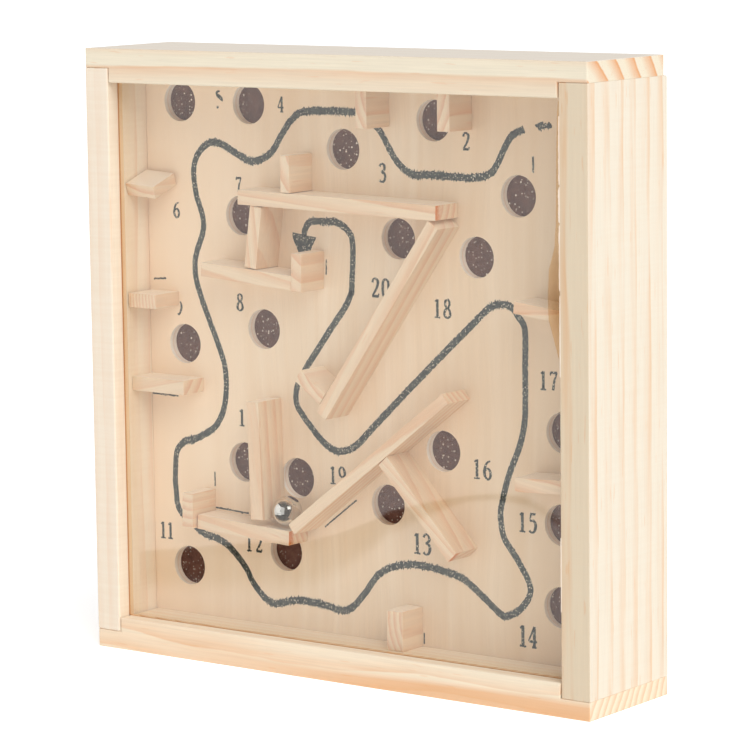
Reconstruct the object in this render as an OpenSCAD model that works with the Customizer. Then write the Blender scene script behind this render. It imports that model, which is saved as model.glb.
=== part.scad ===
// Hand-held tilt maze: a square pine case with a clear front, a drilled play
// board with glued fences, a dark backing board and one loose steel ball.
// The case stands on its bottom edge. X runs to the right, +Y to the back and
// +Z up. The origin is the middle of the footprint.

/* [Case] */
// Overall width of the case
case_w = 120; // [116:1:124]
// Overall height of the case
case_h = 122; // [120:1:126]
// Depth of the side and bottom boards, front to back
case_d = 27; // [22:0.5:32]
// Thickness of the left board
left_t = 5.7; // [5:0.1:6.5]
// Thickness of the right board
right_t = 6.4; // [5:0.1:7]
// Thickness of the top board between the side boards
top_t = 6.8; // [6:0.1:7]
// Thickness of the bottom board between the side boards
bottom_t = 6.5; // [6:0.1:6.9]
// Thickness of the top board's tongues, which lap over the side boards
top_tongue_t = 3.9; // [3:0.1:4.2]
// Thickness of the bottom board's tongues
bottom_tongue_t = 3.6; // [3:0.1:4.2]
// How much narrower the top board is than the side boards, at the back
top_setback = 1; // [0:0.1:2]
// Open hairline between a side board and the shoulder of a rabbet
shoulder_gap = 0.25; // [0.05:0.05:0.4]
// Depth of the grooves that hold the pane and the boards
groove_h = 1.8; // [1:0.1:2]

/* [Clear cover] */
// Distance from the front of the case to the front of the pane
pane_setback = 3.4; // [2.5:0.1:3.6]
// Thickness of the pane
pane_t = 1; // [0.8:0.1:1.1]

/* [Play board] */
// Distance from the front of the case to the play board
play_setback = 12; // [11.8:0.1:13]
// Thickness of the play board
play_t = 2; // [1.5:0.1:3]
// Diameter of the trap holes
hole_d = 8; // [7:0.1:8.4]
// Thickness of the dark backing board
backing_t = 3; // [2:0.1:4]
// Slack of the pane and the boards in their grooves
fit_slack = 0.2; // [0.1:0.05:0.3]

/* [Fences] */
// Space between the pane and the fences' front edges
fence_clear = 0.2; // [0.1:0.05:0.4]
// Pitch of the one fence that is glued out of square
crooked_pitch = 20; // [0:1:20]
// Roll of that fence, its free end down
crooked_roll = 3.5; // [0:0.5:4]

/* [Ball] */
// Diameter of the ball
ball_d = 6; // [5:0.1:6]
// Ball's place to the right of the middle, in the pocket
ball_x = -16.6; // [-16.7:0.1:-16.4]
// Ball's height above the bottom of the case
ball_z = 31.05; // [31:0.05:31.3]
// Distance from the front of the case to the ball's centre
ball_setback = 7.8; // [7.6:0.1:8.6]

/* [Hidden] */
// Trap holes: [printed number, x, z]. The sixth number has no hole.
HOLES = [
    [1, 36.5, 95.6],
    [2, 17, 109.2],
    [3, -4.7, 102.9],
    [4, -28, 111],
    [5, -45.6, 111],
    [7, -30.2, 88.8],
    [8, -25, 66.3],
    [9, -45.4, 62],
    [10, -30.5, 39],
    [11, -45.4, 16.3],
    [12, -20.3, 21.8],
    [13, 5.2, 33.7],
    [14, 45.8, 17.8],
    [15, 46, 33.7],
    [16, 18.6, 45.5],
    [17, 46.5, 51.4],
    [18, 26.8, 83.5],
    [19, -17, 37],
    [20, 8.4, 86.1]
];

// Square fences: [name, centre x, centre z, length, angle from level, thickness,
// how far the front edge stays behind the common front line]
FENCES = [
    ["fence_top_middle", 5.3, 111.45, 7.5, 90, 2.6, 0],
    ["fence_top_right", 24.6, 111.5, 7.4, 90, 2.9, 0],
    ["fence_left_middle", -50.35, 71.1, 7.1, 0, 2.9, 0],
    ["fence_left_lower", -47.55, 54, 13.5, 0, 2.9, 1],
    ["fence_long_bar", -1.35, 92.8, 47.9, -1.1, 2.9, 0],
    ["fence_bar_post", -13.4, 98.25, 7.3, 90, 2.2, 0],
    ["fence_link_post", -21.8, 85.45, 12.4, 82.2, 2.9, 0.3],
    ["fence_short_bar", -23.6, 77.75, 22.7, -3.7, 2.8, 0],
    ["fence_short_bar_post", -10.95, 79.1, 7.5, 88.4, 2.5, 0],
    ["fence_upper_diagonal", 8.2, 70.7, 47.3, 54.7, 2.75, 0],
    ["fence_diagonal_stub", -8, 56.85, 7.4, -35.1, 2.7, 0],
    ["fence_pocket_wall", -22.1, 40.95, 23.6, 91.6, 2.95, 0],
    ["fence_pocket_floor", -26.4, 26.5, 23.4, -2.8, 2.9, 1.2],
    ["fence_pocket_post", -39.6, 29.3, 7.1, 88.5, 2.7, 0],
    ["fence_lower_diagonal", 5.6, 42.6, 47.5, 37.7, 2.3, 0],
    ["fence_lower_branch", 17.42, 35.18, 23.8, -46.8, 2.7, 0.2],
    ["fence_bottom_post", 11.35, 10.45, 7.9, 90, 3.8, 0.7],
    ["fence_right_upper", 46.85, 74.86, 13.3, -6.3, 2.3, 0],
    ["fence_right_lower", 46.85, 42.3, 13.3, 2.2, 2.7, 0]
];

// The crooked fence, glued to the left board with its front edge drooping
CROOKED_NAME = "fence_left_upper";
CROOKED_X = -50.5;
CROOKED_Z = 94.45;
CROOKED_L = 7.3;
CROOKED_D = 6.9;
CROOKED_T = 2.6;

// Corners of the case and of its inner opening
front_y = -case_d / 2;
left_x = -case_w / 2;
right_x = case_w / 2;
inner_left_x = left_x + left_t;
inner_right_x = right_x - right_t;
inner_bottom_z = bottom_t;
inner_top_z = case_h - top_t;
play_y = front_y + play_setback;

// Reach of the pane and the boards past the inner opening, into the grooves
tuck = groove_h - fit_slack;
// Depth that the play board and the backing board take together
stack_t = play_t + backing_t;
// The fences fill the space between the pane and the play board
fence_y = front_y + pane_setback + pane_t + fence_clear;
fence_d = play_y - fence_y;

// Overshoot that keeps cut faces off the surfaces they cut
cut = 1;
PINE = "#efdcb8";
PALE_PINE = "#f3e6cb";
FENCE_PINE = "#ecd2a8";
$fn = 64;

// Grooves seen from the middle of the case, as blocks that reach groove_h past
// the inner opening on every side; a board is cut by the ones that meet it.
module grooves() {
    x = inner_left_x - groove_h;
    z = inner_bottom_z - groove_h;
    w = inner_right_x - inner_left_x + 2 * groove_h;
    h = inner_top_z - inner_bottom_z + 2 * groove_h;
    translate([x, front_y + pane_setback - fit_slack / 4, z])
        cube([w, pane_t + fit_slack / 2, h]);
    translate([x, play_y, z])
        cube([w, stack_t + fit_slack / 2, h]);
}

// A panel that fills the inner opening and is tucked into the grooves
module panel(setback, thickness) {
    translate([inner_left_x - tuck, front_y + setback, inner_bottom_z - tuck])
        cube([
            inner_right_x - inner_left_x + 2 * tuck,
            thickness,
            inner_top_z - inner_bottom_z + 2 * tuck
        ]);
}

// Waste at both ends of a rabbeted board, between two heights
module rabbet_waste(low_z, high_z) {
    depth = case_d + 2 * cut;
    translate([left_x - cut, front_y - cut, low_z])
        cube([left_t + shoulder_gap + cut, depth, high_z - low_z]);
    translate([inner_right_x - shoulder_gap, front_y - cut, low_z])
        cube([right_t + shoulder_gap + cut, depth, high_z - low_z]);
}

module frame_top() {
    color(PINE)
        difference() {
            translate([left_x, front_y, inner_top_z])
                cube([case_w, case_d - top_setback, top_t]);
            rabbet_waste(inner_top_z - cut, case_h - top_tongue_t);
            grooves();
        }
}

module frame_bottom() {
    color(PINE)
        difference() {
            translate([left_x, front_y, 0])
                cube([case_w, case_d, bottom_t]);
            rabbet_waste(bottom_tongue_t, bottom_t + cut);
            grooves();
        }
}

// A side board stands between the tongues of the top and bottom boards
module side_board(x, thickness) {
    color(PALE_PINE)
        difference() {
            translate([x, front_y, bottom_tongue_t])
                cube([thickness, case_d, case_h - top_tongue_t - bottom_tongue_t]);
            grooves();
        }
}

module frame_left() {
    side_board(left_x, left_t);
}

module frame_right() {
    side_board(inner_right_x, right_t);
}

module cover_pane() {
    color("#e8eef0", 0.3)
        panel(pane_setback, pane_t);
}

module play_board() {
    color("#e3c8a0")
        difference() {
            panel(play_setback, play_t);
            for (h = HOLES)
                translate([h[1], play_y - cut, h[2]])
                    rotate([-90, 0, 0])
                        cylinder(h = play_t + 2 * cut, d = hole_d);
        }
}

module backing_board() {
    color("#2e1d18")
        panel(play_setback + play_t, backing_t);
}

// One straight strip on the play board; angle turns it up from level
module fence(f) {
    color(FENCE_PINE)
        translate([f[1], fence_y + f[6], f[2]])
            rotate([0, -f[4], 0])
                translate([-f[3] / 2, 0, -f[5] / 2])
                    cube([f[3], fence_d - f[6], f[5]]);
}

// A short block whose back edge meets the play board and whose front droops
module crooked_fence() {
    back_reach = CROOKED_D / 2 * cos(crooked_pitch) + CROOKED_T / 2 * sin(crooked_pitch);
    color(FENCE_PINE)
        translate([CROOKED_X, play_y - back_reach, CROOKED_Z])
            rotate([crooked_pitch, crooked_roll, 0])
                cube([CROOKED_L, CROOKED_D, CROOKED_T], center = true);
}

module steel_ball() {
    color("silver")
        translate([ball_x, front_y + ball_setback, ball_z])
            sphere(d = ball_d);
}

frame_top();
frame_bottom();
frame_left();
frame_right();
cover_pane();
play_board();
backing_board();
crooked_fence();
for (f = FENCES)
    fence(f);
steel_ball();
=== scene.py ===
"""Tilt maze game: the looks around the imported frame.

Lengths are in millimetres, and mm() or MM turns them into metres.
"""

import math
import random

import bmesh
import bpy
from mathutils import Euler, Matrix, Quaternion, Vector

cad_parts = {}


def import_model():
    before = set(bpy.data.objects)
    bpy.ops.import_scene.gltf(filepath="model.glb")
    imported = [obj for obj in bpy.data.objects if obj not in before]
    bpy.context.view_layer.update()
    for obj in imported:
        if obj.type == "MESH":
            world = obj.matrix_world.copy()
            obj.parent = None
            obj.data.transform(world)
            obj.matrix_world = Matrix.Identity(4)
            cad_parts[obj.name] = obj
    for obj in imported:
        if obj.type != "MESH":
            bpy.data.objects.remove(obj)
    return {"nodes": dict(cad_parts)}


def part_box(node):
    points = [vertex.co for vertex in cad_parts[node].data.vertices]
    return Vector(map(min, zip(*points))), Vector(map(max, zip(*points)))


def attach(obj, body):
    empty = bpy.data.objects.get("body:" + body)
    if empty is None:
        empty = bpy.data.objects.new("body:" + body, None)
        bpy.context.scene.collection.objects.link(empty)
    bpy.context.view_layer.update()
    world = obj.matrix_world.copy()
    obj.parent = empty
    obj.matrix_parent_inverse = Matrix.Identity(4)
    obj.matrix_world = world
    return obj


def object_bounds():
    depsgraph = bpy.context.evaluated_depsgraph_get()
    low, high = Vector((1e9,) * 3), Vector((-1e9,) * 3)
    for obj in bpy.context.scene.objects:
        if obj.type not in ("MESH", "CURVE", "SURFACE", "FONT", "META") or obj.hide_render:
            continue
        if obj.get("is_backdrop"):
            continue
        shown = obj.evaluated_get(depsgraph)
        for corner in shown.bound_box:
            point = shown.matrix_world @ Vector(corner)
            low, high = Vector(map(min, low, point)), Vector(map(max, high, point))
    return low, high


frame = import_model()
CAD_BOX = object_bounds()

MM = 0.001
NODES = frame["nodes"]
CASE = "case"


def mm(*values):
    """A vector in metres from millimetres."""
    return Vector(values) * MM


def tint(code):
    """Linear colour with alpha from an sRGB hex code."""
    parts = [int(code[i : i + 2], 16) / 255 for i in (1, 3, 5)]
    curve = [c / 12.92 if c <= 0.04045 else ((c + 0.055) / 1.055) ** 2.4 for c in parts]
    return (*curve, 1.0)


# ---------------------------------------------------------------- materials

SOCKETS = {
    "specular": "Specular IOR Level",
    "metallic": "Metallic",
    "glow": "Emission Color",
    "glow_strength": "Emission Strength",
}
WHITE = (1.0, 1.0, 1.0, 1.0)
HALF = (0.5, 0.5, 0.5)


class Graph:
    """Short names for building one material's nodes."""

    def __init__(self, name):
        self.material = bpy.data.materials.new(name)
        self.material.use_nodes = True
        self.tree = self.material.node_tree
        self.bsdf = self.tree.nodes["Principled BSDF"]
        self.output = self.tree.nodes["Material Output"]

    def put(self, socket, value):
        """Links a socket into an input, or sets the input's own value."""
        if isinstance(value, bpy.types.NodeSocket):
            self.tree.links.new(value, socket)
        else:
            socket.default_value = value

    def add(self, kind, inputs=(), **settings):
        made = self.tree.nodes.new(kind)
        for key, value in settings.items():
            setattr(made, key, value)
        for key, value in dict(inputs).items():
            self.put(made.inputs[key], value)
        return made

    def math(self, operation, first, second=0.0, third=0.0, clamp=False):
        inputs = {0: first, 1: second, 2: third}
        made = self.add("ShaderNodeMath", inputs, operation=operation, use_clamp=clamp)
        return made.outputs[0]

    def vector(self, operation, first, second=(0.0, 0.0, 0.0)):
        made = self.add("ShaderNodeVectorMath", {0: first, 1: second}, operation=operation)
        return made.outputs["Value" if operation in ("LENGTH", "DOT_PRODUCT") else "Vector"]

    def noise(self, vector, detail=2.0, roughness=0.5, colour=False):
        inputs = {"Vector": vector, "Scale": 1.0, "Detail": detail, "Roughness": roughness}
        made = self.add("ShaderNodeTexNoise", inputs)
        return made.outputs["Color" if colour else "Fac"]

    def stretched(self, vector, rates, **settings):
        """Noise with its own number of cycles per millimetre on each axis."""
        return self.noise(self.vector("MULTIPLY", vector, rates), **settings)

    def ramp(self, fac, stops, ease="LINEAR"):
        made = self.add("ShaderNodeValToRGB", {"Fac": fac})
        made.color_ramp.interpolation = ease
        elements = made.color_ramp.elements
        while len(elements) < len(stops):
            elements.new(0.5)
        for element, (place, value) in zip(elements, stops):
            element.position = place
            grey = isinstance(value, (int, float))
            element.color = (value, value, value, 1.0) if grey else value
        return made.outputs["Color"]

    def mix(self, fac, first, second, blend="MIX"):
        made = self.add("ShaderNodeMix", data_type="RGBA", blend_type=blend)
        self.put(made.inputs["Factor"], fac)
        self.put(made.inputs[6], first)
        self.put(made.inputs[7], second)
        return made.outputs[2]

    def span(self, value, low, high):
        """Spreads a 0 to 1 value over low to high."""
        return self.math("MULTIPLY_ADD", value, high - low, low)

    def bump(self, height, depth, strength):
        """Normals of a relief that is depth millimetres deep."""
        inputs = {"Height": height, "Distance": depth * MM, "Strength": strength}
        return self.add("ShaderNodeBump", inputs).outputs["Normal"]

    def part(self, vector, axis):
        """One coordinate of a vector: X, Y or Z."""
        return self.add("ShaderNodeSeparateXYZ", {0: vector}).outputs[axis]

    def normal(self):
        """The face's own direction at rest."""
        return self.add("ShaderNodeTexCoord").outputs["Normal"]

    def set(self, **values):
        """Constant values straight on the shader's sockets."""
        for name, value in values.items():
            self.bsdf.inputs[SOCKETS[name]].default_value = value

    def finish(self, colour, roughness, normal=None):
        """The material, with what drives its colour, roughness and relief."""
        self.put(self.bsdf.inputs["Base Color"], colour)
        self.put(self.bsdf.inputs["Roughness"], roughness)
        if normal is not None:
            self.put(self.bsdf.inputs["Normal"], normal)
        return self.material

    def finish_with(self, shader):
        """The material, with another shader in place of the first one."""
        self.tree.nodes.remove(self.bsdf)
        self.put(self.output.inputs["Surface"], shader.outputs[0])
        return self.material


def rest_place(graph):
    """Object coordinates in millimetres."""
    coordinates = graph.add("ShaderNodeTexCoord")
    return graph.vector("MULTIPLY", coordinates.outputs["Object"], (1 / MM,) * 3)


# What a cut of pine has besides its rings
PLAIN_CUT = {
    # Strength of the late wood on the long faces, and how much of it comes in streaks
    "contrast": 0.6,
    "streak": 0.5,
    # Strength and colour of the late wood on end grain
    "end": 0.9,
    "end_late": None,
    # How far the rings stray, in millimetres, and how late in a ring they darken
    "wander": 1.5,
    "steep": 0.78,
    # Strength of the fibres, the saw marks and the warm bands, and depth of the relief
    "fibre": 0.09,
    "saw": 0.0,
    "blush": 0.0,
    "depth": 0.03,
    # Painted light and shade on faces by the way they point: direction, colour, strength, blend
    "faces": (),
    # A warmer lower edge: where it starts and is full in z, colour, strength
    "low": None,
    # Front of a stained end, in y
    "stain": None,
}


def fibre_space(g, turn, pith):
    """Millimetres with X along the fibres from the pith, and where a face is end grain."""
    if turn is None:
        swing = Euler((0.0, 0.0, -math.pi / 2))
    else:
        swing = Euler((0.0, math.radians(turn), 0.0))
    coordinates = g.add("ShaderNodeTexCoord")
    inputs = {
        "Vector": coordinates.outputs["Object"],
        "Location": -(swing.to_matrix() @ Vector(pith)),
        "Rotation": swing,
        "Scale": (1 / MM,) * 3,
    }
    grain = g.add("ShaderNodeMapping", inputs).outputs["Vector"]
    along = swing.to_matrix().transposed() @ Vector((1, 0, 0))
    facing = g.vector("DOT_PRODUCT", coordinates.outputs["Normal"], along)
    ends = g.ramp(g.math("ABSOLUTE", facing), [(0.7, 0.0), (0.95, 1.0)])
    return grain, ends


def stray(g, grain, rates, detail, reach):
    """Shifts of the fibres across their length, reach millimetres at most."""
    shift = g.stretched(grain, rates, detail=detail, colour=True)
    shift = g.vector("SUBTRACT", shift, HALF)
    return g.vector("MULTIPLY", shift, (0.0, 2 * reach, 2 * reach))


def late_wood(g, bent, spacing, phase, steep):
    """Growth rings round the pith: 0 is early wood and 1 late wood."""
    radius = g.vector("LENGTH", g.vector("MULTIPLY", bent, (0.0, 1.0, 1.0)))
    rings = g.math("FRACT", g.math("MULTIPLY_ADD", radius, 1 / spacing, phase))
    stops = [(0.0, 0.0), (0.4 * steep, 0.04), (steep, 0.75), (0.93, 1.0), (1.0, 0.0)]
    return g.ramp(rings, stops)


def late_strength(g, grain, ends, look):
    """How much the late wood shows: in streaks along the faces, evenly on the ends."""
    patchy = g.stretched(grain, (0.03, 0.5, 0.5), detail=2.0)
    patchy = g.ramp(patchy, [(0.38, 1 - look["streak"]), (0.62, 1.0)])
    sides = g.math("MULTIPLY", patchy, look["contrast"])
    even = g.ramp(patchy, [(0.0, 0.85), (1.0, 1.0)])
    return g.mix(ends, sides, g.math("MULTIPLY", even, look["end"]))


def fibre_detail(g, grain, ends, colour, late, look):
    """Warm bands, fine fibres or pores, and dashes: the colour, the marks, the pores."""
    cloud = g.stretched(grain, (0.012, 0.12, 0.12), detail=1.0)
    colour = g.mix(g.math("MULTIPLY", cloud, look["blush"]), colour, tint(late))
    fibre = g.stretched(grain, (0.07, 2.6, 2.6), detail=3.0, roughness=0.6)
    pore = g.stretched(grain, (2.0, 5.0, 5.0), detail=2.0)
    marks = g.mix(ends, fibre, pore)
    light = g.span(g.ramp(marks, [(0.3, 0.0), (0.7, 1.0)]), 1 - look["fibre"], 1.0)
    colour = g.mix(1.0, colour, light, blend="MULTIPLY")
    dash = g.stretched(grain, (0.16, 1.7, 1.7), detail=1.0)
    dash = g.ramp(dash, [(0.68, 0.0), (0.74, 0.25)])
    return g.mix(dash, colour, tint(late)), marks, pore


def painted_face_light(g, colour, faces):
    """Painted light and shade: faces that point one way are made paler or darker."""
    for direction, code, most, blend in faces:
        painted_light_share = g.vector("DOT_PRODUCT", g.normal(), direction)
        painted_light_share = g.ramp(painted_light_share, [(0.7, 0.0), (0.95, most)])
        colour = g.mix(painted_light_share, colour, tint(code), blend=blend)
    return colour


def low_band(g, colour, slow, ends, low):
    """A band of warmer wood along the lower edge, which fades to the left."""
    start, full, code, most = low
    place = g.vector("ADD", rest_place(g), g.vector("MULTIPLY", slow, (0.0, 0.0, 1.2)))
    height = g.math("SUBTRACT", g.part(place, "Z"), full)
    height = g.math("DIVIDE", height, start - full)
    share = g.ramp(height, [(0.0, most), (1.0, 0.0)])
    share = g.math("MULTIPLY", share, g.math("SUBTRACT", 1.0, ends))
    across = g.ramp(across_case(g, place), [(0.1, 0.25), (0.6, 1.0)])
    return g.mix(g.math("MULTIPLY", share, across), colour, tint(code))


def across_case(g, place):
    """0 at the case's left side and 1 at its right side."""
    left, right = (corner.x / MM for corner in CAD_BOX)
    width = right - left
    return g.math("MULTIPLY_ADD", g.part(place, "X"), 1 / width, -left / width)


def end_stain(g, colour, pore, ends, front):
    """The front few millimetres of a stained end."""
    reach = 3.6
    depth = g.math("MULTIPLY_ADD", pore, 3.0, g.part(rest_place(g), "Y"))
    depth = g.math("DIVIDE", g.math("SUBTRACT", depth, front), reach)
    share = g.ramp(depth, [(0.55, 1.0), (0.9, 0.0)])
    return g.mix(g.math("MULTIPLY", share, ends), colour, tint("#d98246"))


def pine(name, turn, pith, spacing, phase=0.0, early="#f4e2c6", late="#e0a468", **looks):
    """Solid pine: growth rings round a pith line, so every face and end agrees.

    turn is the angle of the fibres up from +X, or None where they run along Y, pith
    is a point on the pith line in millimetres, spacing the width of a ring.
    """
    look = PLAIN_CUT | looks
    g = Graph(name)
    g.set(specular=0.35)
    grain, ends = fibre_space(g, turn, pith)
    slow = stray(g, grain, (0.018, 0.07, 0.07), 1.5, look["wander"])
    quick = stray(g, grain, (0.12, 0.7, 0.7), 2.0, 0.175)
    bent = g.vector("ADD", g.vector("ADD", grain, slow), quick)
    rings = late_wood(g, bent, spacing, phase, look["steep"])
    share = g.math("MULTIPLY", late_strength(g, grain, ends, look), rings)
    late_tint = tint(late)
    if look["end_late"]:
        late_tint = g.mix(ends, tint(late), tint(look["end_late"]))
    colour = g.mix(share, tint(early), late_tint)
    colour, marks, pore = fibre_detail(g, grain, ends, colour, late, look)
    colour = painted_face_light(g, colour, look["faces"])
    if look["low"]:
        colour = low_band(g, colour, slow, ends, look["low"])
    if look["stain"]:
        colour = end_stain(g, colour, pore, ends, look["stain"])
    # Saw marks run across the fibres
    saw = g.stretched(grain, (1.6, 0.05, 0.05), detail=2.0)
    shade = g.ramp(saw, [(0.35, 0.12 * look["saw"]), (0.65, 0.0)])
    colour = g.mix(shade, colour, tint("#dcb890"))
    relief = g.math("MULTIPLY_ADD", saw, look["saw"], marks)
    relief = g.math("MULTIPLY_ADD", share, -0.5, relief)
    return g.finish(colour, g.span(marks, 0.5, 0.72), g.bump(relief, look["depth"], 0.8))


def specks(g, place, scale, reach, least):
    """Small round dots on an upright face, in some cells of a grid of scale cells a mm."""
    flat = g.add("ShaderNodeMapping", {"Vector": place, "Rotation": (-math.pi / 2, 0, 0)})
    inputs = {"Vector": flat.outputs[0], "Scale": scale}
    cells = g.add("ShaderNodeTexVoronoi", inputs, voronoi_dimensions="2D")
    spot = g.ramp(cells.outputs["Distance"], [(0.7 * reach, 1.0), (reach, 0.0)])
    chosen = g.part(cells.outputs["Color"], "X")
    return g.math("MULTIPLY", spot, g.ramp(chosen, [(least, 0.0), (least + 0.3, 1.0)]))


def ply_face(g, place):
    """Upright grain of the play board's face: colour and fine grain."""
    warp = g.stretched(place, (0.04, 0.0, 0.015), detail=1.0, colour=True)
    warp = g.vector("MULTIPLY", g.vector("SUBTRACT", warp, HALF), (9.0, 0.0, 0.0))
    bent = g.vector("ADD", place, warp)
    bands = g.stretched(bent, (0.28, 0.0, 0.006), detail=2.5, roughness=0.6)
    fine = g.stretched(bent, (3.0, 0.0, 0.07), detail=3.0, roughness=0.65)
    colour = g.ramp(bands, [(0.3, tint("#eed4b4")), (0.7, tint("#f6e2c8"))])
    warm = g.stretched(place, (0.02, 0.0, 0.02), detail=1.0)
    colour = g.mix(g.ramp(warm, [(0.4, 0.0), (0.7, 0.5)]), colour, tint("#f0cda8"))
    light = g.span(g.ramp(fine, [(0.3, 0.0), (0.7, 1.0)]), 0.93, 1.0)
    colour = g.mix(1.0, colour, light, blend="MULTIPLY")
    # Painted light: paler to the left. Painted shade: duller to the right, where the right board
    # shades the play board
    half = 54.0
    across = g.math("ADD", g.part(place, "X"), half)
    across = g.math("DIVIDE", across, 2 * half, clamp=True)
    pale = g.ramp(across, [(0.0, 0.8), (0.35, 0.1), (0.6, 0.0)])
    colour = g.mix(pale, colour, tint("#ffe6c9"))
    dull = g.ramp(across, [(0.6, 0.0), (0.95, 0.5)])
    return g.mix(dull, colour, tint("#dcbf9c")), fine


def ply_layers(g, place):
    """Walls of the holes, cut across three plies: colour and roughness of the cut."""
    low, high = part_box("play_board")
    share = g.math("SUBTRACT", g.part(place, "Y"), low.y / MM)
    share = g.math("DIVIDE", share, (high.y - low.y) / MM)
    stops = [(0.0, tint("#fff4e6")), (0.42, tint("#f8e2cb")), (0.6, tint("#fff0df"))]
    plies = g.ramp(share, stops, ease="CONSTANT")
    burr = g.stretched(place, (2.5, 0.8, 2.5), detail=3.0)
    return g.mix(1.0, plies, g.span(burr, 0.94, 1.14), blend="MULTIPLY"), burr


def plywood():
    """Play board: smooth birch-like face, upright grain, layered hole walls."""
    g = Graph("play_board_ply")
    g.set(specular=0.3)
    place = rest_place(g)
    face, fine = ply_face(g, place)
    plies, burr = ply_layers(g, place)
    facing = g.vector("DOT_PRODUCT", g.normal(), (0.0, 1.0, 0.0))
    wall = g.ramp(g.math("ABSOLUTE", facing), [(0.5, 1.0), (0.8, 0.0)])
    colour = g.mix(wall, face, plies)
    normal = g.bump(g.mix(wall, fine, burr), 0.02, 0.6)
    return g.finish(colour, g.span(fine, 0.5, 0.68), normal)


def dark_board():
    """Backing board: dark brown hardboard with bright specks on its front."""
    g = Graph("backing_hardboard")
    g.set(specular=0.2)
    place = rest_place(g)
    felt = g.stretched(place, (0.9, 0.9, 0.9), detail=4.0, roughness=0.7)
    colour = g.ramp(felt, [(0.3, tint("#53332a")), (0.7, tint("#744f42"))])
    speck_share = g.stretched(place, (0.035, 0.035, 0.035), detail=1.0)
    speck_share = g.ramp(speck_share, [(0.4, 0.35), (0.6, 1.0)])
    front = g.vector("DOT_PRODUCT", g.normal(), (0.0, -1.0, 0.0))
    speck_share = g.math("MULTIPLY", speck_share, g.ramp(front, [(0.5, 0.07), (0.8, 1.0)]))
    for scale, reach, least in ((0.75, 0.16, 0.55), (1.5, 0.22, 0.72)):
        spot = g.math("MULTIPLY", specks(g, place, scale, reach, least), speck_share)
        colour = g.mix(spot, colour, tint("#f6ebdb"))
    return g.finish(colour, g.span(felt, 0.55, 0.85), g.bump(felt, 0.08, 0.7))


def clear_pane():
    """Thin clear sheet: what is behind it shows straight, and it mirrors a little more
    towards a grazing angle. Smears make the mirror image uneven."""
    g = Graph("pane_clear")
    smear = g.stretched(rest_place(g), (0.05, 0.05, 0.03), detail=3.0, roughness=0.6)
    facing = g.add("ShaderNodeLayerWeight", {"Blend": 0.5}).outputs["Facing"]
    share = g.math("MULTIPLY_ADD", g.math("POWER", facing, 5.0), 0.9, 0.052)
    share = g.math("MULTIPLY", share, g.span(smear, 0.85, 1.1), clamp=True)
    clear = g.add("ShaderNodeBsdfTransparent", {"Color": tint("#fdfdfc")})
    gloss = g.add("ShaderNodeBsdfGlossy", {"Roughness": 0.02, "Color": WHITE})
    inputs = {0: share, 1: clear.outputs[0], 2: gloss.outputs[0]}
    return g.finish_with(g.add("ShaderNodeMixShader", inputs))


def chrome():
    """Polished ball with faint scuffs."""
    g = Graph("ball_chrome")
    g.set(metallic=1.0)
    place = rest_place(g)
    scuff = g.stretched(place, (1.2, 1.2, 1.2), detail=4.0, roughness=0.7)
    film = g.stretched(place, (0.35, 0.35, 0.35), detail=2.0)
    colour = g.ramp(film, [(0.35, tint("#d9d6d0")), (0.65, tint("#eceae6"))])
    return g.finish(colour, g.span(scuff, 0.03, 0.14), g.bump(scuff, 0.004, 0.4))


def ink():
    """Screen print: dark grey-green, thin enough to let pale grains through."""
    g = Graph("screen_ink")
    g.set(specular=0.25)
    place = rest_place(g)
    worn = g.stretched(place, (1.6, 1.6, 1.6), detail=3.0, roughness=0.7)
    colour = g.ramp(worn, [(0.35, tint("#282c2a")), (0.65, tint("#50554f"))])
    thin = g.stretched(place, (0.09, 0.09, 0.09), detail=1.0)
    thin = g.ramp(thin, [(0.38, 0.45), (0.6, 1.0)])
    for scale, reach, least in ((0.9, 0.13, 0.2), (1.9, 0.26, 0.5)):
        spot = g.math("MULTIPLY", specks(g, place, scale, reach, least), thin)
        colour = g.mix(spot, colour, tint("#e2d6c0"))
    return g.finish(colour, g.span(worn, 0.55, 0.8), g.bump(worn, 0.01, 0.5))


def amber():
    """A thin amber film that lets the view through, a little warmer and duller."""
    g = Graph("amber_film_tint")
    cloud = g.stretched(rest_place(g), (0.5, 0.5, 0.08), detail=3.0, roughness=0.6)
    clear = g.add("ShaderNodeBsdfTransparent", {"Color": tint("#fdf5ea")})
    dull = g.add("ShaderNodeBsdfDiffuse", {"Color": tint("#dbb088")})
    share = g.span(g.ramp(cloud, [(0.3, 0.0), (0.7, 1.0)]), 0.04, 0.12)
    inputs = {0: share, 1: clear.outputs[0], 2: dull.outputs[0]}
    return g.finish_with(g.add("ShaderNodeMixShader", inputs))


def floor_paper(level, glow):
    """Plain pale paper, with the faintest unevenness."""
    g = Graph("floor_paper")
    g.set(specular=0.0, glow=WHITE, glow_strength=glow)
    paper = g.stretched(rest_place(g), (0.05, 0.05, 0.05), detail=2.0)
    colour = g.mix(g.math("MULTIPLY", paper, 0.02), (level,) * 3 + (1,), tint("#d8d8d8"))
    return g.finish(colour, g.span(paper, 0.8, 0.9))


# ---------------------------------------------------------------- CAD nodes

BOARD_EASE = 0.28
FENCE_EASE = 0.16


def dress(node, material, ease_w=0):
    """Gives a CAD node its material, and eases its sharp edges by ease_w."""
    piece = NODES[node]
    piece.data.materials.clear()
    piece.data.materials.append(material)
    if not ease_w:
        return
    weld = piece.modifiers.new("weld", "WELD")
    weld.merge_threshold = 0.001 * MM
    ease = piece.modifiers.new("ease", "BEVEL")
    ease.width = ease_w * MM
    ease.segments = 2
    ease.limit_method = "ANGLE"
    ease.angle_limit = math.radians(50)
    ease.harden_normals = False
    shade = piece.modifiers.new("shade", "WEIGHTED_NORMAL")
    shade.keep_sharp = True


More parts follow.
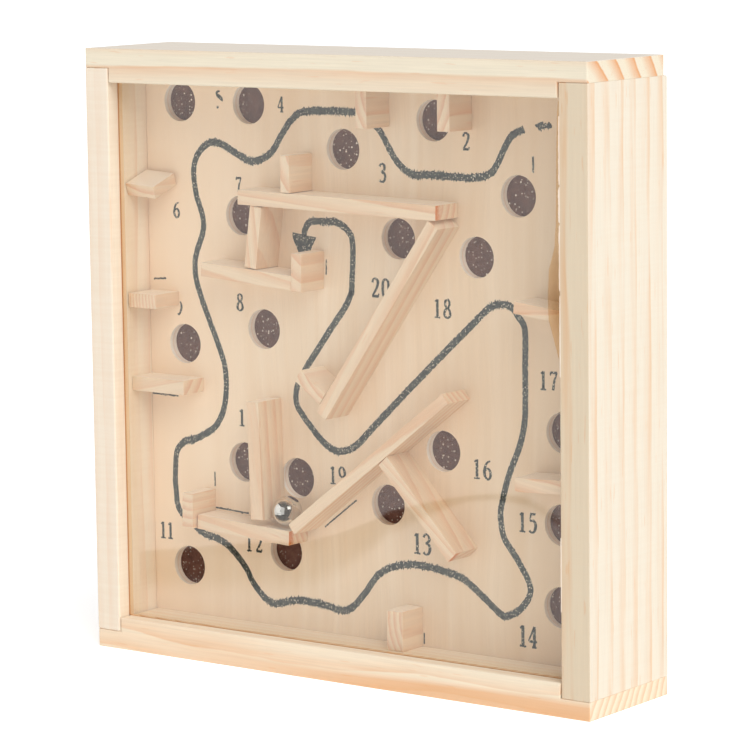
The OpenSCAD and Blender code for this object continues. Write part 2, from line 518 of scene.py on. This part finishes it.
def fibre_turn(node):
    """Angle of a strip's long side up from +X, in degrees."""
    mesh = NODES[node].data
    longest = Vector((1, 0, 0))
    length = 0.0
    for edge in mesh.edges:
        a, b = (mesh.vertices[i].co for i in edge.vertices)
        span = b - a
        if abs(span.y) < 0.1 * MM and span.length > length:
            length = span.length
            longest = span
    return math.degrees(math.atan2(longest.z, longest.x))


def case_corners():
    """The case's lower left front and upper right back corner, in millimetres."""
    return [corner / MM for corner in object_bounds()]


def dress_top():
    low, high = case_corners()
    wood = pine(
        "pine_top",
        0,
        (0, low.y - 16.5, high.z - 21.5),
        4.75,
        0.8,
        early="#eadfc8",
        late="#dfa270",
        end_late="#e2985a",
        streak=0.35,
        steep=0.84,
        # Painted light: the upper face is made paler, as if lit from above
        faces=(((0, 0, 1), "#fdf4e8", 0.85, "MIX"),),
    )
    dress("frame_top", wood, BOARD_EASE)


def dress_bottom():
    low = case_corners()[0]
    wood = pine(
        "pine_bottom",
        0,
        (0, low.y - 39.3, 30.3),
        1.95,
        0.55,
        early="#f2e4cc",
        late="#e3a66c",
        contrast=0.5,
        end=0.6,
        end_late="#e2a976",
        wander=2.2,
        blush=0.15,
        low=(3.6, 2.4, "#e0a062", 0.6),
        # Painted light: the upper face, the case's inner floor, is made paler
        faces=(((0, 0, 1), "#fff0da", 0.5, "MIX"),),
    )
    dress("frame_bottom", wood, BOARD_EASE)


def dress_right():
    low, high = case_corners()
    wood = pine(
        "pine_right",
        90,
        (high.x - 40, low.y - 56, 0),
        4.0,
        0.3,
        early="#e7ddcb",
        late="#e2a566",
        contrast=0.5,
        streak=0.9,
        saw=0.5,
        depth=0.02,
        fibre=0.05,
        # Painted shade: the front face is made greyer and darker than the side
        faces=(((0, -1, 0), "#f0e8dc", 1.0, "MULTIPLY"),),
        steep=0.86,
    )
    dress("frame_right", wood, BOARD_EASE)


def dress_left():
    low = case_corners()[0]
    wood = pine(
        "pine_left",
        90,
        (low.x + 48, low.y - 30, 0),
        2.6,
        0.1,
        early="#f5e7d3",
        late="#e0a068",
        streak=0.6,
        saw=0.9,
        depth=0.025,
        # Painted shade on the front face and painted light on the inner face
        faces=(
            ((0, -1, 0), "#e8dac7", 0.7, "MIX"),
            ((1, 0, 0), "#fff0d9", 0.45, "MIX"),
        ),
    )
    dress("frame_left", wood, BOARD_EASE)


# A fence shorter than this is cut across a strip, so its front is end grain
SHORT_FENCE = 9.0
# Short fences: where the rings on the front face, in degrees, and their width
SHORT_RINGS = {
    "fence_left_middle": (5, 0.8),
    "fence_pocket_post": (85, 1.7),
    "fence_bar_post": (30, 3.0),
    "fence_bottom_post": (12, 1.3),
    "fence_short_bar_post": (60, 3.2),
    "fence_left_upper": (75, 1.8),
    "fence_top_middle": (20, 1.8),
    "fence_top_right": (160, 1.8),
}
OTHER_RINGS = (40, 1.8)
STAINED_ENDS = ("fence_pocket_floor", "fence_long_bar", "fence_lower_branch")


def heading(angle):
    """Direction on the play board at an angle in degrees up from +X."""
    return Vector((math.cos(math.radians(angle)), 0, math.sin(math.radians(angle))))


def fence_grain(name, low, high, draw):
    """Where a fence's fibres run, a point of its pith line, and the width of a ring."""
    centre = (low + high) / 2
    size = high - low
    turn = fibre_turn(name)
    around = math.radians(draw.uniform(-70, 70))
    away = draw.uniform(7, 22)
    pith = centre + heading(turn + 90) * away * math.sin(around)
    pith.y += away * math.cos(around) * draw.choice((-1, 1))
    spacing = draw.uniform(1.5, 2.6)
    if max(size.x, size.z) < SHORT_FENCE:
        angle, spacing = SHORT_RINGS.get(name, OTHER_RINGS)
        return None, centre + 14 * heading(angle), spacing
    return turn, pith, spacing


def dress_fences():
    """Every fence is its own offcut: fibres along it, pith in its own place."""
    draw = random.Random(11)
    for name in sorted(n for n in NODES if n.startswith("fence_")):
        low, high = (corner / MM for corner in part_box(name))
        turn, pith, spacing = fence_grain(name, low, high, draw)
        wood = pine(
            "pine_" + name,
            turn,
            pith,
            spacing,
            draw.random(),
            early="#f3ddc0",
            late="#e3a06a",
            contrast=draw.uniform(0.42, 0.66),
            end=0.6,
            end_late="#df9c6e",
            wander=0.5,
            blush=0.2,
            # Painted light: the upper faces are made paler
            faces=(((0, 0, 1), "#fff4e4", 0.75, "MIX"),),
            depth=0.02,
            stain=low.y if name in STAINED_ENDS else None,
        )
        dress(name, wood, FENCE_EASE)


def dress_rest():
    """The pane, the two boards and the ball."""
    dress("cover_pane", clear_pane())
    dress("play_board", plywood())
    dress("backing_board", dark_board())
    dress("steel_ball", chrome())
    NODES["steel_ball"].data.shade_smooth()


# ---------------------------------------------------------------- print on the play board

# Route of the ball on the play board, as x and z
ROUTE = (
    "37.9,108.3 35.1,106.9 33.2,104.1 31.7,101.4 29.9,99.5 25.7,98.6 16.6,98.8 11.8,98.8 "
    "8,101.4 4.1,107 0.5,109.6 -1.5,110.2 -13.5,110 -17.1,108.3 -19.6,105.4 -22.6,101.5 "
    "-26.9,99.7 -30.5,100.7 -34.8,102.7 -37.8,103 -41,100.8 -42.3,97.4 -41.8,92.7 -40.2,88 "
    "-40.2,85.1 -41.8,81.1 -42.4,78.6 -42.2,75.3 -40.8,71.3 -38.7,66.6 -36.4,61.5 -35.2,58.1 "
    "-34.9,54.3 -35.4,50.3 -36.7,47.3 -38.7,45 -43.3,42.6 -45.8,42 -48.1,39.7 -48.7,35.2 "
    "-48.6,31.8 -47.6,27.4 -42,23.6 -37.2,22.4 -34.1,20.7 -30.8,17.5 -28.6,14.2 -25.4,11.4 "
    "-22.6,10.9 -17.9,12.1 -11.9,12.1 -7,11.4 -4.1,12.1 -0.7,15.5 2.6,19.5 6.6,21.6 "
    "11.9,22.5 18.2,22 23.3,20.8 28,17.7 31,15.5 32.9,14.7 36,16.2 38.4,19.2 38.4,21.8 "
    "35.7,26.1 32.7,30 31.9,34.2 32.5,37.6 33.9,42.2 36.5,48.3 37.6,52.8 37.8,57.2 "
    "37.8,63.3 37.9,69.1 37.5,71.3 36.3,72.8 34.8,74.5 32.5,74.9 30.2,74.3 27.5,72.2 "
    "15.7,61.6 8.3,54.8 2.4,49.3 -2.3,44.9 -5.9,43.3 -8.7,43.7 -11.7,45.8 -15.7,49.9 "
    "-17.1,52.2 -16.8,55.5 -14.5,59.3 -11.6,63.1 -8.4,67.3 -4.6,72.1 -3.3,74.6 -3,75.5 "
    "-2.6,84.3 -3.6,86.9 -6,88.4 -9.7,88.6 -13,88.3 -14.3,86.7 -14.5,85.4"
)

# Digits in a box one unit high and half a unit wide: strokes of x, z and width
DIGITS = {
    "0": [
        "0.25,0.97,0.06 0.1,0.85,0.11 0.06,0.5,0.13 0.1,0.15,0.11 0.25,0.03,0.06 "
        "0.4,0.15,0.11 0.44,0.5,0.13 0.4,0.85,0.11 0.25,0.97,0.06"
    ],
    "1": [
        "0.25,0.03,0.13 0.25,0.97,0.13",
        "0.25,0.94,0.07 0.1,0.84,0.05",
        "0.08,0.03,0.05 0.42,0.03,0.05",
    ],
    "2": [
        "0.07,0.76,0.1 0.12,0.92,0.08 0.25,0.97,0.07 0.4,0.87,0.13 0.41,0.7,0.13 "
        "0.3,0.42,0.1 0.07,0.08,0.06",
        "0.05,0.06,0.11 0.44,0.06,0.11",
        "0.43,0.04,0.06 0.47,0.2,0.04",
    ],
    "3": [
        "0.07,0.82,0.1 0.14,0.94,0.07 0.28,0.97,0.08 0.39,0.85,0.13 0.36,0.66,0.1 0.18,0.54,0.05",
        "0.18,0.54,0.05 0.38,0.47,0.1 0.42,0.27,0.13 0.34,0.07,0.09 0.16,0.03,0.06 0.06,0.12,0.1",
    ],
    "4": [
        "0.33,0.97,0.05 0.04,0.3,0.05",
        "0.04,0.29,0.07 0.48,0.29,0.07",
        "0.34,0.97,0.12 0.34,0.03,0.12",
        "0.22,0.03,0.05 0.45,0.03,0.05",
    ],
    "5": [
        "0.12,0.93,0.1 0.43,0.95,0.08",
        "0.14,0.95,0.05 0.11,0.58,0.05",
        "0.11,0.58,0.06 0.27,0.62,0.08 0.41,0.5,0.12 0.42,0.28,0.13 0.32,0.07,0.09 "
        "0.15,0.03,0.06 0.06,0.12,0.1",
    ],
    "worn 5": [
        "0.3,0.97,0.06 0.12,0.93,0.1 0.08,0.8,0.12 0.24,0.68,0.18 0.42,0.52,0.16 0.5,0.4,0.02",
        "0.06,0.06,0.04 0.12,0.05,0.14 0.2,0.06,0.04",
    ],
    "worn 1": ["0.25,0.03,0.1 0.25,0.97,0.1"],
    "worn 9": ["0.36,0.82,0.05 0.45,0.6,0.11 0.42,0.34,0.12 0.32,0.12,0.09 0.16,0.03,0.07"],
    "6": [
        "0.42,0.95,0.05 0.22,0.84,0.08 0.09,0.55,0.12 0.08,0.26,0.13 0.2,0.05,0.08 "
        "0.34,0.05,0.08 0.43,0.22,0.12 0.41,0.44,0.11 0.27,0.57,0.06 0.12,0.46,0.05"
    ],
    "7": [
        "0.05,0.93,0.1 0.45,0.93,0.1",
        "0.06,0.95,0.06 0.05,0.78,0.04",
        "0.44,0.93,0.06 0.29,0.5,0.09 0.21,0.03,0.13",
    ],
    "8": [
        "0.25,0.97,0.06 0.13,0.9,0.1 0.12,0.7,0.1 0.25,0.54,0.07 0.38,0.7,0.1 "
        "0.37,0.9,0.1 0.25,0.97,0.06",
        "0.25,0.54,0.07 0.1,0.4,0.11 0.08,0.16,0.12 0.25,0.03,0.06 0.42,0.16,0.12 "
        "0.4,0.4,0.11 0.25,0.54,0.07",
    ],
    "9": [
        "0.08,0.05,0.05 0.28,0.16,0.08 0.41,0.45,0.12 0.42,0.74,0.13 0.3,0.95,0.08 "
        "0.16,0.95,0.08 0.07,0.78,0.12 0.09,0.56,0.11 0.23,0.43,0.06 0.38,0.54,0.05"
    ],
}

# Printed number: centre x and z, height, width of the whole number
NUMBERS = {
    "1": (39.9, 101.7, 3.3, 1.5),
    "2": (24.6, 105.5, 3.4, 1.7),
    "3": (4.8, 98.7, 3.7, 1.8),
    "4": (-19.9, 111.2, 3.2, 1.9),
    "5": (-35.4, 111.7, 3.5, 1.6),
    "6": (-47, 89.1, 3.3, 1.8),
    "7": (-30.8, 94.9, 3.1, 1.8),
    "8": (-31, 71.3, 3.5, 1.8),
    "9": (-46.9, 69.4, 3.4, 1.7),
    "10": (-29.8, 48, 3.5, 4.2),
    "11": (-51.3, 23, 3.5, 3.7),
    "12": (-28.5, 22.6, 3.5, 4.2),
    "13": (13.3, 26.8, 4.2, 4.4),
    "14": (38, 11.4, 4.3, 4.4),
    "15": (38.1, 33.5, 3.9, 4.3),
    "16": (27.7, 42.8, 3.9, 4.4),
    "17": (43.1, 61.1, 3.7, 4.2),
    "18": (18.7, 73.2, 3.7, 4.2),
    "19": (-7.1, 38.4, 3.6, 4.1),
    "20": (4, 76.3, 3.8, 4.4),
}

# Thin guide marks, end to end, as x and z
MARKS = (
    "-53.3,74.8 -50.1,75",
    "-54.3,51.2 -47.5,51.1",
    "-9.1,81.1 -9.2,78.1",
    "-9.4,58.8 -8,57.4",
    "-38.3,36.3 -38.3,33.4",
    "-38.2,29 -29.7,28.6",
    "13.6,9.2 13.6,7",
    "-10.4,27.8 -2.5,33.9",
)

# The arrow at the start of the route points left, the one at its end down
START_ARROW = "44.2,109,0.4 43.5,109,0.95 42.9,109,0.6 42.3,108.9,0.9 41.8,109,1.5 40.4,109.1,0.15"
END_ARROW = "-14.5,85.7,5.9 -14.6,84.7,5.3 -14.6,82.9,3.4 -14.6,81.2,1.9 -14.6,79.6,0.3"

# Numbers whose print is incomplete
WORN = ("1", "5", "9")

# Thickness of the print, and widths of the route and the guide marks
INK_T = 0.03
ROUTE_W = 1.3
MARK_W = 0.3


def numbers_in(text):
    """Tuples of numbers from words of comma-separated numbers."""
    return [tuple(float(v) for v in word.split(",")) for word in text.split()]


def catmull_rom(corners, t):
    """Point at share t of the way from the second of four corners to the third."""
    point = []
    for p, q, r, s in zip(*corners):
        slope = (r - p) * t
        bend = (2 * p - 5 * q + 4 * r - s) * t * t
        twist = (3 * q - p - 3 * r + s) * t * t * t
        point.append(0.5 * (2 * q + slope + bend + twist))
    return tuple(point)


def smooth(points, step):
    """A curve through the points, with one point about every step."""
    closed = len(points) > 2 and points[0] == points[-1]
    before = points[-2] if closed else points[0]
    after = points[1] if closed else points[-1]
    padded = [before, *points, after]
    made = []
    for corners in zip(padded, padded[1:], padded[2:], padded[3:]):
        count = max(2, round(math.dist(corners[1][:2], corners[2][:2]) / step))
        made.extend(catmull_rom(corners, i / count) for i in range(count))
    made.append(tuple(points[-1]))
    return made


def flat_outline(rows, y_front, y_back, verts, faces):
    """Adds a thin closed strip between the left and right points of its rows."""
    first = len(verts)
    for (lx, lz), (rx, rz) in rows:
        verts.append(mm(lx, y_front, lz))
        verts.append(mm(rx, y_front, rz))
        verts.append(mm(lx, y_back, lz))
        verts.append(mm(rx, y_back, rz))
    for i in range(len(rows) - 1):
        a = first + 4 * i
        b = a + 4
        faces.append((a, a + 1, b + 1, b))
        faces.append((a + 2, b + 2, b + 3, a + 3))
        faces.append((a, b, b + 2, a + 2))
        faces.append((a + 1, a + 3, b + 3, b + 1))
    last = first + 4 * (len(rows) - 1)
    faces.append((first, first + 2, first + 3, first + 1))
    faces.append((last, last + 1, last + 3, last + 2))


def stroke_rows(points, draw, fuzz, tuft):
    """Left and right points along a stroke, with the ragged edge of a print."""
    rows = []
    for i, (x, z, width) in enumerate(points):
        before = points[max(i - 1, 0)]
        after = points[min(i + 1, len(points) - 1)]
        along = Vector((after[0] - before[0], after[1] - before[1]))
        if along.length == 0:
            along = Vector((1, 0))
        along.normalize()
        side = Vector((-along.y, along.x))
        pair = []
        for sign in (1, -1):
            reach = sign * (width / 2 + draw.uniform(-fuzz, fuzz))
            hair = draw.uniform(1, 6) * fuzz if draw.random() < tuft else 0.0
            hair *= sign * side.y * abs(side.y)
            pair.append((x + side.x * reach, z + side.y * reach + hair))
        rows.append(tuple(pair))
    return rows


def piece_from(name, verts, faces, material):
    """A mesh piece that rides on the case."""
    mesh = bpy.data.meshes.new(name)
    mesh.from_pydata([tuple(v) for v in verts], [], faces)
    mesh.validate()
    mesh.update()
    mesh.materials.append(material)
    piece = bpy.data.objects.new(name, mesh)
    bpy.context.scene.collection.objects.link(piece)
    fix_normals(mesh)
    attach(piece, CASE)
    return piece


def fix_normals(mesh):
    """Makes every closed shell face outward."""
    work = bmesh.new()
    work.from_mesh(mesh)
    bmesh.ops.recalc_face_normals(work, faces=work.faces)
    work.to_mesh(mesh)
    work.free()


def printed(name, strokes, material, seed, step=0.13, fuzz=0.03, tuft=0.1):
    """A print on the play board from strokes of x, z and width.

    step is the distance between its points, fuzz how ragged the edge is, and tuft the
    share of its points that have a hair.
    """
    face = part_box("play_board")[0].y / MM
    draw = random.Random(seed)
    verts = []
    faces = []
    for stroke in strokes:
        rows = stroke_rows(smooth(stroke, step), draw, fuzz, tuft)
        flat_outline(rows, face - INK_T, face, verts, faces)
    return piece_from(name, verts, faces, material)


def print_route(material):
    route = [(x, z, ROUTE_W) for x, z in numbers_in(ROUTE)]
    printed("printed_route", [route], material, 3, step=0.12, fuzz=0.07, tuft=0.4)


def print_arrows(material):
    start = numbers_in(START_ARROW)
    printed("printed_start_arrow", [start], material, 5, fuzz=0.06, tuft=0.35)
    end = numbers_in(END_ARROW)
    printed("printed_end_arrow", [end], material, 6, step=0.16, fuzz=0.06, tuft=0.2)


def digit_strokes(glyph, left, low, height):
    """Strokes of one digit, with its lower left corner at left and low."""
    ink_spread = 0.03
    strokes = []
    for stroke in DIGITS[glyph]:
        points = numbers_in(stroke)
        strokes.append([
            (left + u * height, low + v * height, (ink_spread + w) * height)
            for u, v, w in points
        ])
    return strokes


def print_numbers(material):
    for text, (x, z, height, width) in NUMBERS.items():
        digit_w = height / 2
        last = len(text) - 1
        pitch = (width - digit_w) / max(last, 1)
        start = x - width / 2 if last else x - digit_w / 2
        strokes = []
        for i, digit in enumerate(text):
            glyph = "worn " + digit if text in WORN else digit
            strokes += digit_strokes(glyph, start + i * pitch, z - height / 2, height)
        printed("printed_number_" + text, strokes, material, int(text), tuft=0.08)


def print_marks(material):
    strokes = [[(x, z, MARK_W) for x, z in numbers_in(mark)] for mark in MARKS]
    printed("printed_guide_marks", strokes, material, 9, step=0.2)


# ---------------------------------------------------------------- small details

# Thickness of the top board between the side boards
TOP_T = 6.8
# Width of the painted shade line in front of the pane's groove, and thickness of the strips there
SHADE_LINE_W = 0.28
STRIP_T = 0.04
# Outline of the amber film on the pane: height and where it starts from the left
FILM_OUTLINE = (
    "60,53.2 63,52.4 66,51.6 67.2,51.1 74,49 78,48.85 83.2,49.1 87.2,50.3 87.8,50.4 "
    "92,50.7 98,50.8 106,50.9 112,51.1 114.5,51.3"
)
# How far the film's front and back stand in front of the pane
FILM_FRONT = 0.03
FILM_BACK = 0.005
# Torn stretches of the right board's edge: from, to, width
CHIPS = ((80, 92, 0.16), (92.5, 99, 0.26), (99.5, 112, 0.16), (64, 79, 0.08), (20, 34, 0.08))
CHIP_STEPS = 12
CHIP_TIP_W = 0.1
# How far they stand in front of the board and how deep they go
CHIP_PROUD = 0.02
CHIP_REACH = 0.5


def block(low, high, verts, faces):
    """Adds a rectangular block between two corners."""
    first = len(verts)
    for z in (low[2], high[2]):
        for x, y in ((low[0], low[1]), (high[0], low[1]), (high[0], high[1]), (low[0], high[1])):
            verts.append(mm(x, y, z))
    sides = [(0, 1, 5, 4), (1, 2, 6, 5), (2, 3, 7, 6), (3, 0, 4, 7), (3, 2, 1, 0), (4, 5, 6, 7)]
    faces.extend(tuple(first + i for i in side) for side in sides)


def inner_opening():
    """Left, right, bottom and top of the case's inside, in millimetres."""
    return (
        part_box("frame_left")[1].x / MM,
        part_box("frame_right")[0].x / MM,
        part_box("frame_bottom")[1].z / MM,
        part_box("frame_top")[1].z / MM - TOP_T,
    )


def lining(name, material, y0, y1):
    """Thin strips on the inside of the four boards, between two depths."""
    left, right, bottom, top = inner_opening()
    verts = []
    faces = []
    block((left, y0, bottom), (left + STRIP_T, y1, top), verts, faces)
    block((right - STRIP_T, y0, bottom), (right, y1, top), verts, faces)
    block((left, y0, bottom), (right, y1, bottom + STRIP_T), verts, faces)
    block((left, y0, top - STRIP_T), (right, y1, top), verts, faces)
    piece_from(name, verts, faces, material)


def groove_painted_shade():
    """Painted shade: the darker line that the pane's edge makes in front of its groove."""
    cut = ("groove_shade_line_wood", 90, (-30, 20, 0), 2.2)
    wood = pine(*cut, early="#d3965f", late="#b5733c", contrast=0.8)
    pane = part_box("cover_pane")[0].y / MM
    lining("groove_painted_shade", wood, pane - SHADE_LINE_W, pane)


def groove_linings():
    """The groove itself, as it shows through the pane's edge."""
    wood = pine("groove_lining", 90, (-30, 20, 0), 2.2, early="#f0d2ac", late="#dba877")
    low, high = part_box("cover_pane")
    lining("groove_linings", wood, low.y / MM, high.y / MM + STRIP_T)


def pane_amber_film():
    """A thin amber film on the pane, along the right board."""
    right = inner_opening()[1] - 0.05
    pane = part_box("cover_pane")[0].y / MM
    rows = [((x, z), (right, z)) for z, x in numbers_in(FILM_OUTLINE)]
    verts = []
    faces = []
    flat_outline(rows, pane - FILM_FRONT, pane - FILM_BACK, verts, faces)
    piece_from("pane_amber_film", verts, faces, amber())


def edge_chips():
    """Torn fibres along the inner front edge of the right board."""
    cut = ("torn_fibre", 90, (20, -40, 0), 1.6)
    wood = pine(*cut, early="#f6ecdd", late="#d7a679", streak=0.9)
    edge = inner_opening()[1] + 0.1
    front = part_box("frame_right")[0].y / MM
    draw = random.Random(21)
    verts = []
    faces = []
    for low_z, high_z, width in CHIPS:
        spread = [(high_z - low_z) * i / CHIP_STEPS for i in range(CHIP_STEPS + 1)]
        line = [(edge, low_z + along, width) for along in spread]
        line[0] = (edge, low_z, CHIP_TIP_W)
        line[-1] = (edge, high_z, CHIP_TIP_W)
        rows = []
        for x, z, w in smooth(line, 0.5):
            rows.append(((x - w * draw.uniform(0.4, 1.0), z), (x + 0.15, z)))
        flat_outline(rows, front - CHIP_PROUD, front + CHIP_REACH, verts, faces)
    piece_from("edge_chips", verts, faces, wood)


# ---------------------------------------------------------------- stage

# Half the floor's width, in metres
FLOOR_HALF = 15.0
# Brightness of the surroundings and of the sun, the sun's width in degrees, and where
# its light goes
WORLD_LEVEL = 0.56
SUN_LEVEL = 1.85
SUN_SPREAD = 45
SUN_HEADING = (-0.95, 0.5, -0.95)


def stage_object(name, data):
    """Adds an object to the scene."""
    obj = bpy.data.objects.new(name, data)
    bpy.context.scene.collection.objects.link(obj)
    return obj


def floor():
    """A plain pale floor that reaches past the view's upper edge."""
    half = FLOOR_HALF
    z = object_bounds()[0].z
    mesh = bpy.data.meshes.new("floor")
    corners = [(-half, -half, z), (half, -half, z), (half, half, z), (-half, half, z)]
    mesh.from_pydata(corners, [], [(0, 1, 2, 3)])
    mesh.materials.append(floor_paper(level=0.93, glow=0.4))
    obj = stage_object("floor", mesh)
    obj.visible_glossy = False
    obj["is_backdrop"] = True


def world():
    """Even white surroundings."""
    scene = bpy.context.scene
    made = bpy.data.worlds.new("studio")
    made.use_nodes = True
    back = made.node_tree.nodes["Background"]
    back.inputs["Color"].default_value = WHITE
    back.inputs["Strength"].default_value = WORLD_LEVEL
    made.cycles_visibility.glossy = False
    scene.world = made
    scene.view_settings.view_transform = "Standard"
    scene.view_settings.look = "None"


def lights():
    """One broad soft sun from the upper right, in front."""
    sun = bpy.data.lights.new("key", "SUN")
    sun.energy = SUN_LEVEL
    sun.angle = math.radians(SUN_SPREAD)
    lamp = stage_object("key", sun)
    lamp.rotation_mode = "QUATERNION"
    lamp.rotation_quaternion = Vector(SUN_HEADING).to_track_quat("-Z", "Y")
    lamp.visible_glossy = False


def for_mirrors_only(obj):
    """Stage piece that shows in mirror images and nowhere else."""
    obj.visible_camera = False
    obj.visible_diffuse = False
    obj.visible_transmission = False
    obj.visible_shadow = False
    obj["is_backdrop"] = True


def glow_panel(name, direction, distance, width, height, level):
    """A pale upright panel that faces the object."""
    g = Graph(name)
    cloth = g.stretched(rest_place(g), (0.004, 0.004, 0.004), detail=2.0)
    inputs = {"Color": g.span(cloth, 0.85, 1.0), "Strength": level}
    material = g.finish_with(g.add("ShaderNodeEmission", inputs))
    low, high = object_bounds()
    away = Vector(direction).normalized()
    side = away.cross(Vector((0, 0, 1))).normalized() * width / 2 * MM
    up = side.cross(away).normalized() * height / 2 * MM
    middle = (low + high) / 2 + away * distance * MM
    mesh = bpy.data.meshes.new(name)
    corners = [middle - side - up, middle + side - up, middle + side + up, middle - side + up]
    mesh.from_pydata([tuple(v) for v in corners], [], [(0, 1, 2, 3)])
    mesh.materials.append(material)
    for_mirrors_only(stage_object(name, mesh))


def glow_panels():
    """What the ball mirrors: a wide pale wall at the left and a lamp at the right."""
    glow_panel("left_panel", (-0.8, -0.62, 0.12), 1000, 1500, 1100, level=1.1)
    glow_panel("front_panel", (-0.12, -1, 0.1), 1100, 900, 1100, level=0.8)
    glow_panel("lamp_panel", (0.69, -0.5, 0.5), 1000, 420, 420, level=1.6)


# What the pane mirrors at the reference view is pale, but for a dark band that
# narrows to the right: x on the pane, the band's upper edge, its soft lower edge
BAND = (
    "-60,18.8,11 -51,20,13 -43,21.2,13.8 -34,22.7,14.5 -24,24.4,15.7 -8,26.5,18 0,29,22 "
    "8,32.3,27.3 11,34.2,30 18,36.2,33 25,38,36.3 30,39.1,38 36,40,38.9 43,40,38.6 "
    "47,38.5,37.3 50,36.7,35.7 60,31,30.5"
)
# A dark wedge at the pane's right edge: z and where it starts in x
WEDGE = "66,51.8 67.2,51.1 74,49 83.2,49.1 87.2,50.4 88,51.8"
# Half the width of its upper edge, and the lower edge's as a share of the band's
BAND_EDGE = 0.3
BAND_SOFT = 0.35
# The card: brightness, distance from the pane, grid, and how far it reaches past the pane
CARD_LEVEL = 1.03
CARD_AWAY = 220
CARD_STEP = 0.5
CARD_MARGIN = 8


def between(table, at):
    """Values of a table of tuples, by its first column, straight between rows."""
    for a, b in zip(table, table[1:]):
        if a[0] <= at <= b[0]:
            t = (at - a[0]) / (b[0] - a[0])
            return [p + (q - p) * t for p, q in zip(a[1:], b[1:])]
    return None


def step_up(value, low, high):
    """0 below low and 1 above high, with a smooth rise between them."""
    t = min(max((value - low) / (high - low), 0.0), 1.0)
    return t * t * (3 - 2 * t)


def paleness(x, z, bands, wedges):
    """How pale the mirror image is at a point of the pane, 0 to 1."""
    wedge = between(wedges, z)
    if wedge and x > wedge[0]:
        return 0.0
    band = between(bands, x)
    if not band:
        return 1.0
    upper, lower = band
    soft = BAND_SOFT * (upper - lower)
    above = step_up(z, upper - BAND_EDGE, upper + BAND_EDGE)
    below = 1 - step_up(z, lower - soft, lower + soft)
    return max(above, below)


def card_paper():
    """Glows by how pale each of its points is."""
    g = Graph("card_paper")
    share = g.add("ShaderNodeAttribute", attribute_name="share").outputs["Fac"]
    inputs = {"Strength": g.math("MULTIPLY", share, CARD_LEVEL)}
    return g.finish_with(g.add("ShaderNodeEmission", inputs))


def card_marks(low, high):
    """Places from CARD_MARGIN before low to past high, in millimetres."""
    count = int((high - low) / MM / CARD_STEP) + 4 * CARD_MARGIN
    return [low / MM - CARD_MARGIN + CARD_STEP * i for i in range(count)]


def pale_card():
    """A pale reflector close in front: only mirrors see it."""
    low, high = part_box("cover_pane")
    eye = bpy.context.scene.camera.location.copy()
    eye.y = 2 * low.y - eye.y
    bands = numbers_in(BAND)
    wedges = numbers_in(WEDGE)
    xs = card_marks(low.x, high.x)
    zs = card_marks(low.z, high.z)
    verts = []
    shares = []
    for z in zs:
        for x in xs:
            place = mm(x, low.y / MM, z)
            verts.append(place + (place - eye).normalized() * CARD_AWAY * MM)
            shares.append(paleness(x, z, bands, wedges))
    wide = len(xs)
    starts = [j * wide + i for j in range(len(zs) - 1) for i in range(wide - 1)]
    faces = [(a, a + 1, a + 1 + wide, a + wide) for a in starts]
    mesh = bpy.data.meshes.new("pale_card")
    mesh.from_pydata(verts, [], faces)
    mesh.attributes.new("share", "FLOAT", "POINT").data.foreach_set("value", shares)
    mesh.materials.append(card_paper())
    for_mirrors_only(stage_object("pale_card", mesh))


# Camera: degrees round and up from the front, tilt, distance and the point it faces,
# from the middle of the object
AZIMUTH = 36.7
ELEVATION = 8.117
ROLL = -0.726
DISTANCE = 707.4
AIM = (1.28, 0, -2.13)
LENS = 173.81


def camera():
    """The camera of the reference view, placed from the object's box."""
    azimuth = math.radians(AZIMUTH)
    elevation = math.radians(ELEVATION)
    roll = math.radians(ROLL)
    distance = DISTANCE * MM
    level = math.cos(elevation)
    back = Vector((math.sin(azimuth) * level, -math.cos(azimuth) * level, math.sin(elevation)))
    low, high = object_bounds()
    aim = (low + high) / 2 + mm(*AIM)
    data = bpy.data.cameras.new("camera")
    data.lens = LENS
    data.sensor_width = 36.0
    data.clip_start = 0.05
    data.clip_end = 60.0
    obj = stage_object("camera", data)
    obj.location = aim + back * distance
    obj.rotation_mode = "QUATERNION"
    upright = (-back).to_track_quat("-Z", "Y")
    obj.rotation_quaternion = upright @ Quaternion((0, 0, 1), roll)
    bpy.context.scene.camera = obj


# ---------------------------------------------------------------- build

camera()
dress_top()
dress_bottom()
dress_right()
dress_left()
dress_fences()
dress_rest()
print_ink = ink()
print_route(print_ink)
print_arrows(print_ink)
print_numbers(print_ink)
print_marks(print_ink)
groove_painted_shade()
groove_linings()
pane_amber_film()
edge_chips()
floor()
world()
lights()
pale_card()
glow_panels()
